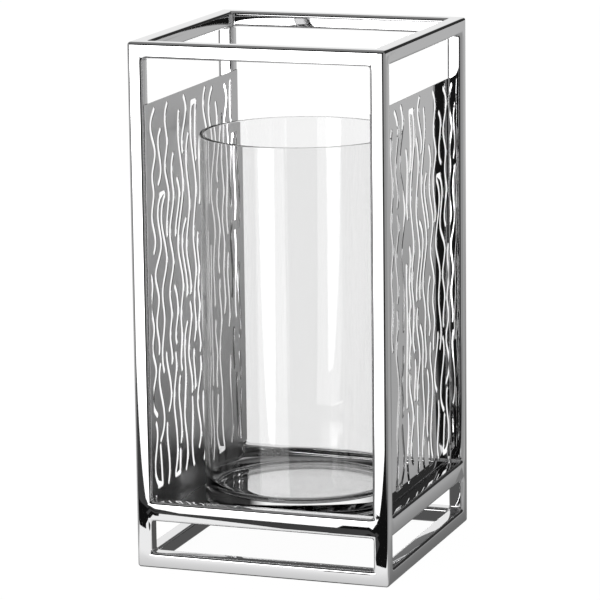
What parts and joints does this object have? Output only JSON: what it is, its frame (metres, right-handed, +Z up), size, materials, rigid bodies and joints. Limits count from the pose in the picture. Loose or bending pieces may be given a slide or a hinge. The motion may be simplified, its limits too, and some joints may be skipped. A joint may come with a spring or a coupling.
{
  "type": "candle lantern",
  "caption": "Tall open box-frame lantern of polished square tube with wavy slotted side sheets and a loose, thick-bottomed glass cylinder for a pillar candle, lifted out through the open top.",
  "frame": {"origin": "middle of the base, on the surface that the lantern stands on", "axes": "+Z up, -Y towards the open front, +X towards the right side sheet"},
  "size_m": [0.2, 0.2, 0.4],
  "materials": {
    "polished_steel_tube": "mirror polished",
    "polished_steel_sheet": "mirror polished, satin on the inner faces of the side sheets",
    "clear_glass": "clear, fire polished"
  },
  "bodies": {
    "frame": {"base_rail_front": "polished_steel_tube", "base_rail_left": "polished_steel_tube", "base_rail_rear": "polished_steel_tube", "base_rail_right": "polished_steel_tube", "floor_plate": "polished_steel_sheet", "post_front_left": "polished_steel_tube", "post_front_right": "polished_steel_tube", "post_rear_left": "polished_steel_tube", "post_rear_right": "polished_steel_tube", "shelf_rail_front": "polished_steel_tube", "shelf_rail_left": "polished_steel_tube", "shelf_rail_rear": "polished_steel_tube", "shelf_rail_right": "polished_steel_tube", "side_sheet_left": "polished_steel_sheet", "side_sheet_right": "polished_steel_sheet", "top_rail_front": "polished_steel_tube", "top_rail_left": "polished_steel_tube", "top_rail_rear": "polished_steel_tube", "top_rail_right": "polished_steel_tube", "welds_base": "polished_steel_tube", "welds_shelf": "polished_steel_tube", "welds_top": "polished_steel_tube"},
    "glass": {"glass_cylinder": "clear_glass"}
  },
  "joints": [
    {"name": "glass_lift", "type": "slide", "parent": "frame", "child": "glass", "axis": [0, 0, 1], "range_m": [0, 0.38]}
  ]
}
